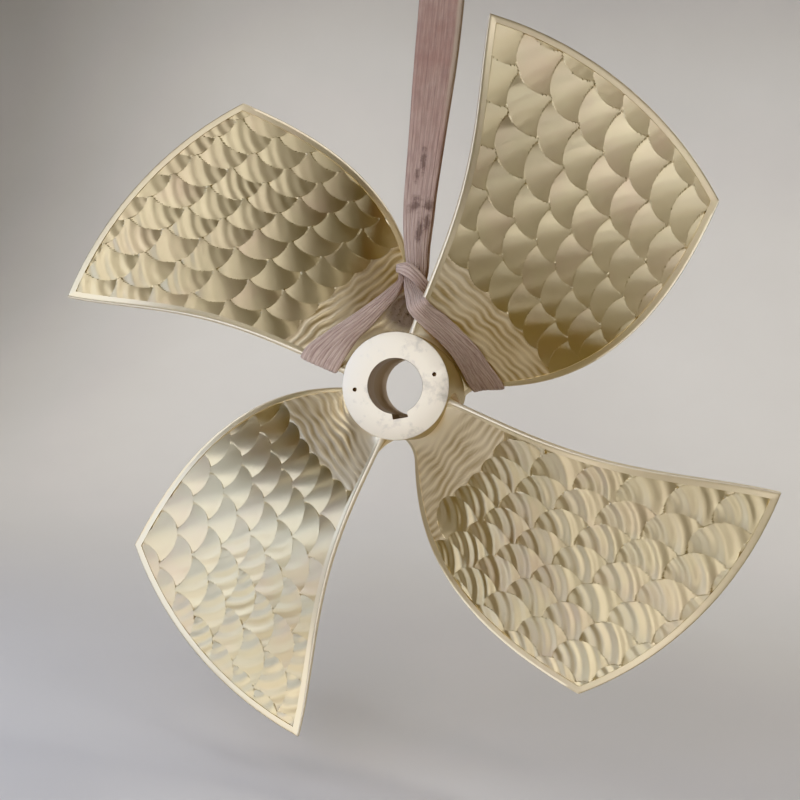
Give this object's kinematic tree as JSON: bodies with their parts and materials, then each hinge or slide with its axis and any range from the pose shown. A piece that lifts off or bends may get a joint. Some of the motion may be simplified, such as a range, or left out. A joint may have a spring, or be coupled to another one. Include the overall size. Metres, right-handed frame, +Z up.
{
  "type": "ship propeller",
  "caption": "Fixed-pitch ship propeller cast in one piece, wide skewed blades, short hub with a tapered keyed bore, hung by its upper blade roots in a hitched webbing sling.",
  "frame": {"origin": "on the shaft axis, half way along the hub", "axes": "+Y along the shaft from the aft face to the forward face, +Z up along the taut sling, +X to starboard"},
  "size_m": [1.9694, 0.4189, 2.3637],
  "materials": {
    "cast_bronze": "ground in overlapping scallops, hub faces turned",
    "woven_polyester": "ribbed webbing, dusty and stained"
  },
  "bodies": {
    "root": {"propeller_casting": "cast_bronze", "lifting_sling": "woven_polyester"}
  },
  "joints": []
}
